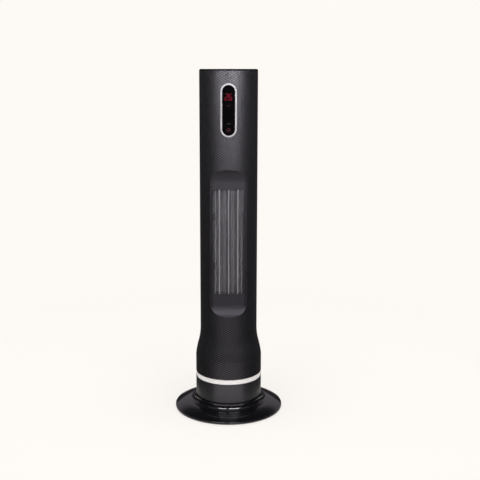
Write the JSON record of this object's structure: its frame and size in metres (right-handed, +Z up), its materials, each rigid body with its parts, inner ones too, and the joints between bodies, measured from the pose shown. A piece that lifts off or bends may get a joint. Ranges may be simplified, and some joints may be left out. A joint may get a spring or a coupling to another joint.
{
  "type": "tower ceramic heater",
  "caption": "Slim round tower heater: dark column with scooped outlet and upright bars, pill-shaped display, silver swivel band and glossy round dish base",
  "frame": {"origin": "centre of the circle of feet, on the floor plane", "axes": "+Z up along the column; the outlet and display face -Y; X is to the right seen from the front"},
  "size_m": [0.23, 0.23, 0.72],
  "materials": {
    "gloss_black": "gloss",
    "dark_plastic": "satin",
    "zinc_steel": "satin",
    "feet_rubber": "matte",
    "screw_steel": "satin",
    "charcoal_shell": "satin",
    "silver_trim": "satin",
    "nylon_white": "satin",
    "gland_rubber": "matte",
    "smoked_lens": "gloss",
    "circuit_board": "satin",
    "grille_aluminium": "satin",
    "heatproof_frame": "matte",
    "ptc_tube": "satin",
    "fin_aluminium": "satin",
    "cutout_ceramic": "matte",
    "duct_plastic": "matte",
    "bush_brass": "satin",
    "intake_plastic": "satin",
    "switch_plastic": "satin",
    "wheel_plastic": "satin",
    "shaft_steel": "polished"
  },
  "bodies": {
    "base": {"base_dish": "gloss_black", "bottom_cover": "dark_plastic", "ballast_plate": "zinc_steel", "rubber_feet": "feet_rubber", "base_screws": "screw_steel", "neck_housing": "charcoal_shell", "trim_ring": "silver_trim", "glide_ring": "nylon_white", "swivel_ring_gear": "nylon_white", "tip_switch": "dark_plastic", "cord_gland": "gland_rubber"},
    "tower": {"tower_foot": "dark_plastic", "hub_retainer": "zinc_steel", "front_housing": "charcoal_shell", "rear_housing": "charcoal_shell", "top_cap": "gloss_black", "display_bezel": "silver_trim", "display_lens": "smoked_lens", "display_board": "circuit_board", "outlet_grille": "grille_aluminium", "ptc_frame": "heatproof_frame", "ptc_rods": "ptc_tube", "ptc_fins": "fin_aluminium", "thermal_cutout": "cutout_ceramic", "fan_scroll": "duct_plastic", "fan_motor": "zinc_steel", "motor_bracket": "zinc_steel", "top_bush": "bush_brass", "control_board": "circuit_board", "swivel_motor": "zinc_steel", "intake_grille": "intake_plastic", "switch_frame": "switch_plastic", "housing_screws": "screw_steel"},
    "fan_wheel": {"impeller": "wheel_plastic", "fan_shaft": "shaft_steel"},
    "pinion": {"swivel_pinion": "nylon_white"},
    "tip_pin": {"tip_plunger": "nylon_white"},
    "rocker": {"power_rocker": "switch_plastic"}
  },
  "joints": [
    {"name": "tower_swing", "type": "hinge", "parent": "base", "child": "tower", "pos_m": [0, 0, 0], "axis": [0, 0, 1], "range_deg": [-35, 35]},
    {"name": "fan_spin", "type": "hinge", "parent": "tower", "child": "fan_wheel", "pos_m": [0, 0.01, 0.37], "axis": [0, 0, 1], "continuous": true},
    {"name": "pinion_spin", "type": "hinge", "parent": "tower", "child": "pinion", "pos_m": [0, 0.03375, 0.064], "axis": [0, 0, 1], "range_deg": [-145, 145]},
    {"name": "tip_pin_drop", "type": "slide", "parent": "base", "child": "tip_pin", "axis": [0, 0, 1], "range_m": [-0.004, 0], "stiffness_N_per_m": 50, "springref_m": -0.012},
    {"name": "rocker_tip", "type": "hinge", "parent": "tower", "child": "rocker", "pos_m": [0, 0.0555, 0.19], "axis": [1, 0, 0], "range_deg": [0, 16]}
  ],
  "couplings": [
    {"joint": "pinion_spin", "follows": "tower_swing", "ratio": -4}
  ]
}
